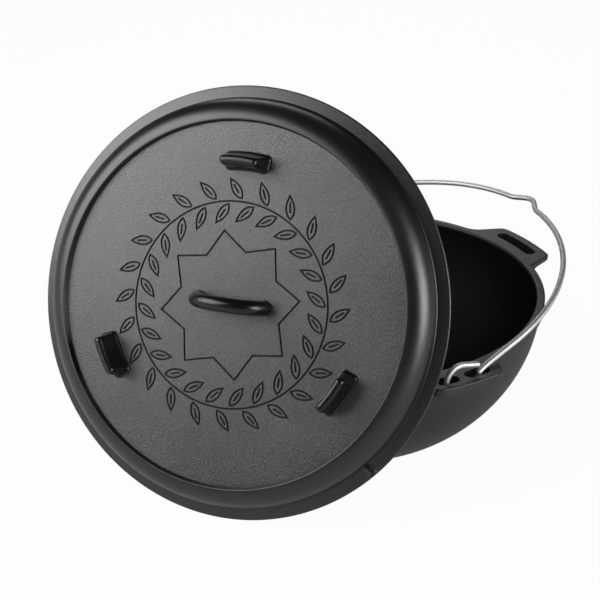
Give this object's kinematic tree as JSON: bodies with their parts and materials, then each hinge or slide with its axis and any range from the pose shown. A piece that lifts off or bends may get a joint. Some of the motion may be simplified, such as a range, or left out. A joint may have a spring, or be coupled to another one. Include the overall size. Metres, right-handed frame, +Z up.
{
  "type": "cauldron",
  "caption": "Round-bowled cast-iron cauldron with slotted rim ears, a swinging wire bail, and a footed lid with a loop handle that stands on edge against the pot.",
  "frame": {"origin": "centre of the pot's flat bottom, on the floor", "axes": "+Z up; +X from the middle of the pot through a grip ear, the way the bail lies at rest; the bail's two ears are on -Y and +Y; the lid leans against the pot on the side of -X and -Y"},
  "size_m": [0.476, 0.401, 0.3357],
  "materials": {
    "pot_iron": "seasoned sand casting, satin",
    "lid_iron": "seasoned sand casting, satin",
    "wire": "bright drawn wire"
  },
  "bodies": {
    "pot": {"pot": "pot_iron"},
    "bail": {"bail": "wire"},
    "lid": {"lid": "lid_iron"}
  },
  "joints": [
    {"name": "bail_swing", "type": "hinge", "parent": "pot", "child": "bail", "pos_m": [0, 0, 0.1205], "axis": [0, -1, 0], "range_deg": [0, 80]},
    {"name": "lid_lift", "type": "slide", "parent": "pot", "child": "lid", "axis": [-0.5353, -0.462, 0.7071], "range_m": [0, 0.3]}
  ]
}
